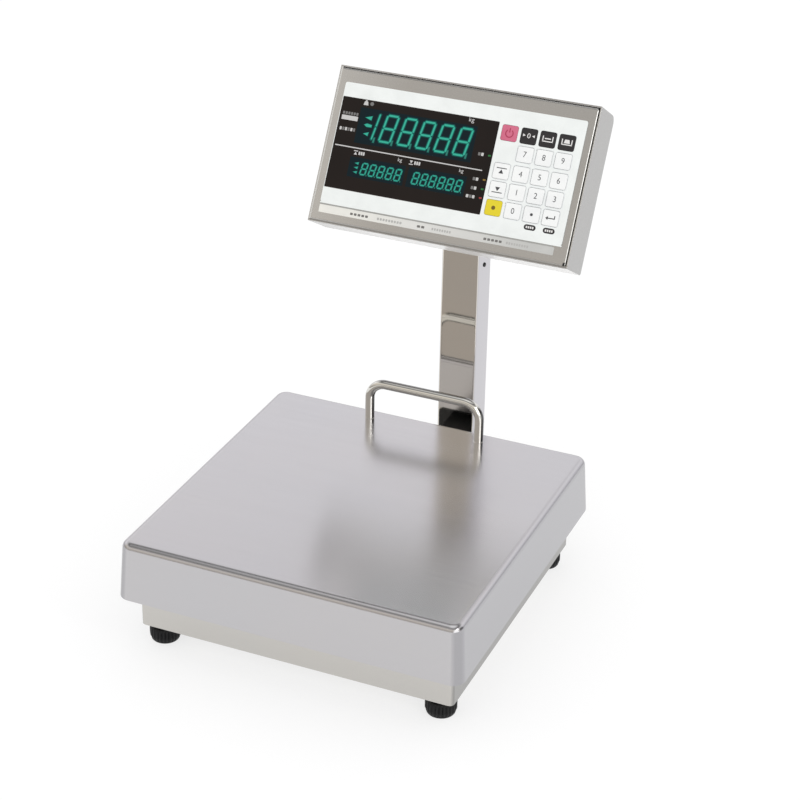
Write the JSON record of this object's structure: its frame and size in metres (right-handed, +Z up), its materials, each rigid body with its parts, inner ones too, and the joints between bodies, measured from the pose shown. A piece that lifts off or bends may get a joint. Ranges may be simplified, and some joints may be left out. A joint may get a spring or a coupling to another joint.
{
  "type": "bench weighing scale with column-mounted display",
  "caption": "Stainless bench scale: square weighing pan on a low base with levelling feet, rear guard rail, and a tilting display and keypad head on a column.",
  "frame": {"origin": "floor level, under the centre of the whole scale's bounding box", "axes": "+Z up; +Y towards the back, where the column stands; +X to the operator's right; the operator stands on the -Y side"},
  "size_m": [0.3566, 0.4734, 0.4633],
  "materials": {
    "pan_steel": "satin polished stainless steel, faint left-to-right brushing, soft reflections",
    "rail_steel": "bright polished stainless rod",
    "base_steel": "bright stainless sheet, slightly warm",
    "column_steel": "polished square stainless tube",
    "head_steel": "fine brushed stainless sheet",
    "bracket_black": "black powder coat",
    "bracket_steel": "plain stainless plate",
    "fastener_steel": "machined stainless",
    "load_cell_aluminium": "clear anodised",
    "cast_aluminium": "fine sand-cast skin",
    "black_rubber": "matte rubber",
    "foot_rubber": "moulded black rubber, fluted grip",
    "black_plastic": "black moulding",
    "overlay_white": "white printed polyester overlay, fine texture",
    "window_dark": "dark tinted acrylic with lit teal seven-segment digits",
    "display_module": "black module with glass front",
    "board_green": "green laminate",
    "key_white": "white key with grey numeral",
    "key_black": "black key with white mark",
    "key_red": "red-pink key",
    "key_yellow": "yellow key"
  },
  "bodies": {
    "base": {"base_frame": "base_steel", "column_bracket": "bracket_black", "column_tube": "column_steel", "column_foot_bolt_left": "fastener_steel", "column_foot_bolt_right": "fastener_steel", "head_post": "bracket_steel", "column_side_screw_left": "fastener_steel", "column_side_screw_right": "fastener_steel", "load_cell": "load_cell_aluminium", "load_cell_spacer": "bracket_steel", "load_cell_base_bolt_front": "fastener_steel", "load_cell_base_bolt_back": "fastener_steel", "signal_cable": "black_plastic", "base_cable_gland": "black_plastic"},
    "platform": {"platform_spider": "cast_aluminium", "load_cell_top_bolt_inner": "fastener_steel", "load_cell_top_bolt_outer": "fastener_steel", "pan_pad_front_left": "black_rubber", "pan_pad_front_right": "black_rubber", "pan_pad_rear_left": "black_rubber", "pan_pad_rear_right": "black_rubber"},
    "pan": {"weighing_pan": "pan_steel", "guard_rail": "rail_steel"},
    "head": {"head_housing": "head_steel", "head_bezel": "head_steel", "keypad_panel": "overlay_white", "display_window": "window_dark", "weight_display": "display_module", "lower_display": "display_module", "main_board": "board_green", "head_yoke": "bracket_steel", "pivot_bolt": "fastener_steel", "pivot_nut": "fastener_steel"},
    "foot_front_left": {"foot_pad_front_left": "foot_rubber", "foot_stud_front_left": "fastener_steel"},
    "foot_front_right": {"foot_pad_front_right": "foot_rubber", "foot_stud_front_right": "fastener_steel"},
    "foot_rear_left": {"foot_pad_rear_left": "foot_rubber", "foot_stud_rear_left": "fastener_steel"},
    "foot_rear_right": {"foot_pad_rear_right": "foot_rubber", "foot_stud_rear_right": "fastener_steel"},
    "key_power_cap": {"key_power": "key_red"},
    "key_zero_cap": {"key_zero": "key_black"},
    "key_tare_cap": {"key_tare": "key_black"},
    "key_gross_cap": {"key_gross": "key_black"},
    "key_7_cap": {"key_7": "key_white"},
    "key_8_cap": {"key_8": "key_white"},
    "key_9_cap": {"key_9": "key_white"},
    "key_upper_limit_cap": {"key_upper_limit": "key_white"},
    "key_4_cap": {"key_4": "key_white"},
    "key_5_cap": {"key_5": "key_white"},
    "key_6_cap": {"key_6": "key_white"},
    "key_lower_limit_cap": {"key_lower_limit": "key_white"},
    "key_1_cap": {"key_1": "key_white"},
    "key_2_cap": {"key_2": "key_white"},
    "key_3_cap": {"key_3": "key_white"},
    "key_sound_cap": {"key_sound": "key_yellow"},
    "key_0_cap": {"key_0": "key_white"},
    "key_point_cap": {"key_point": "key_white"},
    "key_enter_cap": {"key_enter": "key_white"}
  },
  "joints": [
    {"name": "platform_deflection", "type": "slide", "parent": "base", "child": "platform", "axis": [0, 0, 1], "range_m": [-0.0005, 0], "deforming": ["load_cell"]},
    {"name": "pan_lift", "type": "slide", "parent": "platform", "child": "pan", "axis": [0, 0, 1], "range_m": [0, 0.1]},
    {"name": "head_tilt", "type": "hinge", "parent": "base", "child": "head", "pos_m": [0, 0.20512, 0.318], "axis": [1, 0, 0], "range_deg": [-20, 25]},
    {"name": "foot_screw_front_left", "type": "slide", "parent": "base", "child": "foot_front_left", "axis": [0, 0, -1], "range_m": [-0.001, 0.012]},
    {"name": "foot_screw_front_right", "type": "slide", "parent": "base", "child": "foot_front_right", "axis": [0, 0, -1], "range_m": [-0.001, 0.012]},
    {"name": "foot_screw_rear_left", "type": "slide", "parent": "base", "child": "foot_rear_left", "axis": [0, 0, -1], "range_m": [-0.001, 0.012]},
    {"name": "foot_screw_rear_right", "type": "slide", "parent": "base", "child": "foot_rear_right", "axis": [0, 0, -1], "range_m": [-0.001, 0.012]},
    {"name": "key_power_press", "type": "slide", "parent": "head", "child": "key_power_cap", "axis": [0, 0.866, -0.5], "range_m": [0, 0.0004]},
    {"name": "key_zero_press", "type": "slide", "parent": "head", "child": "key_zero_cap", "axis": [0, 0.866, -0.5], "range_m": [0, 0.0004]},
    {"name": "key_tare_press", "type": "slide", "parent": "head", "child": "key_tare_cap", "axis": [0, 0.866, -0.5], "range_m": [0, 0.0004]},
    {"name": "key_gross_press", "type": "slide", "parent": "head", "child": "key_gross_cap", "axis": [0, 0.866, -0.5], "range_m": [0, 0.0004]},
    {"name": "key_7_press", "type": "slide", "parent": "head", "child": "key_7_cap", "axis": [0, 0.866, -0.5], "range_m": [0, 0.0004]},
    {"name": "key_8_press", "type": "slide", "parent": "head", "child": "key_8_cap", "axis": [0, 0.866, -0.5], "range_m": [0, 0.0004]},
    {"name": "key_9_press", "type": "slide", "parent": "head", "child": "key_9_cap", "axis": [0, 0.866, -0.5], "range_m": [0, 0.0004]},
    {"name": "key_upper_limit_press", "type": "slide", "parent": "head", "child": "key_upper_limit_cap", "axis": [0, 0.866, -0.5], "range_m": [0, 0.0004]},
    {"name": "key_4_press", "type": "slide", "parent": "head", "child": "key_4_cap", "axis": [0, 0.866, -0.5], "range_m": [0, 0.0004]},
    {"name": "key_5_press", "type": "slide", "parent": "head", "child": "key_5_cap", "axis": [0, 0.866, -0.5], "range_m": [0, 0.0004]},
    {"name": "key_6_press", "type": "slide", "parent": "head", "child": "key_6_cap", "axis": [0, 0.866, -0.5], "range_m": [0, 0.0004]},
    {"name": "key_lower_limit_press", "type": "slide", "parent": "head", "child": "key_lower_limit_cap", "axis": [0, 0.866, -0.5], "range_m": [0, 0.0004]},
    {"name": "key_1_press", "type": "slide", "parent": "head", "child": "key_1_cap", "axis": [0, 0.866, -0.5], "range_m": [0, 0.0004]},
    {"name": "key_2_press", "type": "slide", "parent": "head", "child": "key_2_cap", "axis": [0, 0.866, -0.5], "range_m": [0, 0.0004]},
    {"name": "key_3_press", "type": "slide", "parent": "head", "child": "key_3_cap", "axis": [0, 0.866, -0.5], "range_m": [0, 0.0004]},
    {"name": "key_sound_press", "type": "slide", "parent": "head", "child": "key_sound_cap", "axis": [0, 0.866, -0.5], "range_m": [0, 0.0004]},
    {"name": "key_0_press", "type": "slide", "parent": "head", "child": "key_0_cap", "axis": [0, 0.866, -0.5], "range_m": [0, 0.0004]},
    {"name": "key_point_press", "type": "slide", "parent": "head", "child": "key_point_cap", "axis": [0, 0.866, -0.5], "range_m": [0, 0.0004]},
    {"name": "key_enter_press", "type": "slide", "parent": "head", "child": "key_enter_cap", "axis": [0, 0.866, -0.5], "range_m": [0, 0.0004]}
  ]
}
